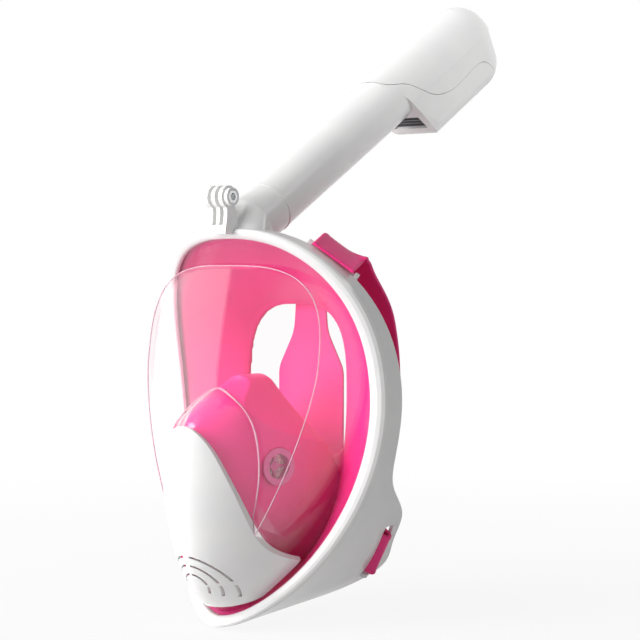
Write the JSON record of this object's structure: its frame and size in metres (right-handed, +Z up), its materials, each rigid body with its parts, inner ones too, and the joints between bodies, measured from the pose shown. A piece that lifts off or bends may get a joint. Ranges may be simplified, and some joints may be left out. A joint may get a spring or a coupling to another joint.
{
  "type": "full face snorkel mask",
  "caption": "Full face snorkel mask with a clear lens, chin valve cover, soft face skirt, straps, camera mount and a slanted snorkel with a float valve.",
  "frame": {"origin": "middle of the face seal at the level of the face's centre, on the mask's plane of symmetry", "axes": "+Z up along the face, +Y towards the wearer, out of the open face side, +X towards the wearer's left"},
  "size_m": [0.192, 0.348, 0.4369],
  "materials": {
    "white_plastic": "gloss",
    "clear_plastic": "gloss",
    "pink_silicone": "satin",
    "pink_strap": "matt",
    "clear_silicone": "satin",
    "dark_rubber": "matt",
    "dark_plastic": "matt",
    "float_foam": "matt",
    "steel": "brushed"
  },
  "bodies": {
    "mask": {"front_frame": "white_plastic", "rear_frame": "white_plastic", "lens": "clear_plastic", "chin_cover": "white_plastic", "face_skirt": "pink_silicone", "nose_pocket": "pink_silicone", "purge_valve_seat": "dark_plastic", "inhale_valve_seat_left": "dark_plastic", "inhale_valve_seat_right": "dark_plastic", "camera_mount": "white_plastic", "mount_nut": "steel", "strap_bar_left": "white_plastic", "strap_bar_right": "white_plastic", "strap_pin_left": "white_plastic", "strap_pin_right": "white_plastic", "upper_strap_left": "pink_strap", "upper_strap_right": "pink_strap", "lower_strap_left": "pink_strap", "lower_strap_right": "pink_strap", "strap_pad": "pink_strap"},
    "snorkel": {"snorkel_tube": "white_plastic", "socket_gasket": "dark_rubber", "tube_ring": "white_plastic", "head_base": "white_plastic", "head_cap": "white_plastic", "port_plate": "white_plastic", "float_cage": "white_plastic", "intake_grille": "dark_plastic"},
    "float": {"float": "float_foam", "float_seal": "clear_silicone"},
    "purge_flap": {"purge_flap": "clear_silicone"},
    "inhale_flap_left": {"inhale_flap_left": "clear_silicone"},
    "inhale_flap_right": {"inhale_flap_right": "clear_silicone"}
  },
  "joints": [
    {"name": "snorkel_pull", "type": "slide", "parent": "mask", "child": "snorkel", "axis": [0, 0.8545, 0.5195], "range_m": [0, 0.024]},
    {"name": "float_lift", "type": "slide", "parent": "snorkel", "child": "float", "axis": [0, 0.8545, 0.5195], "range_m": [0, 0.007]},
    {"name": "purge_open", "type": "slide", "parent": "mask", "child": "purge_flap", "axis": [0, -0.9272, -0.3746], "range_m": [0, 0.0015], "stiffness_N_per_m": 40},
    {"name": "inhale_left_open", "type": "hinge", "parent": "mask", "child": "inhale_flap_left", "pos_m": [0.02645, -0.05875, -0.0173], "axis": [0.2458, 0.9693, 0], "range_deg": [0, 25], "stiffness_Nm_per_rad": 0.0008},
    {"name": "inhale_right_open", "type": "hinge", "parent": "mask", "child": "inhale_flap_right", "pos_m": [-0.02645, -0.05875, -0.0173], "axis": [0.2458, -0.9693, 0], "range_deg": [0, 25], "stiffness_Nm_per_rad": 0.0008}
  ]
}
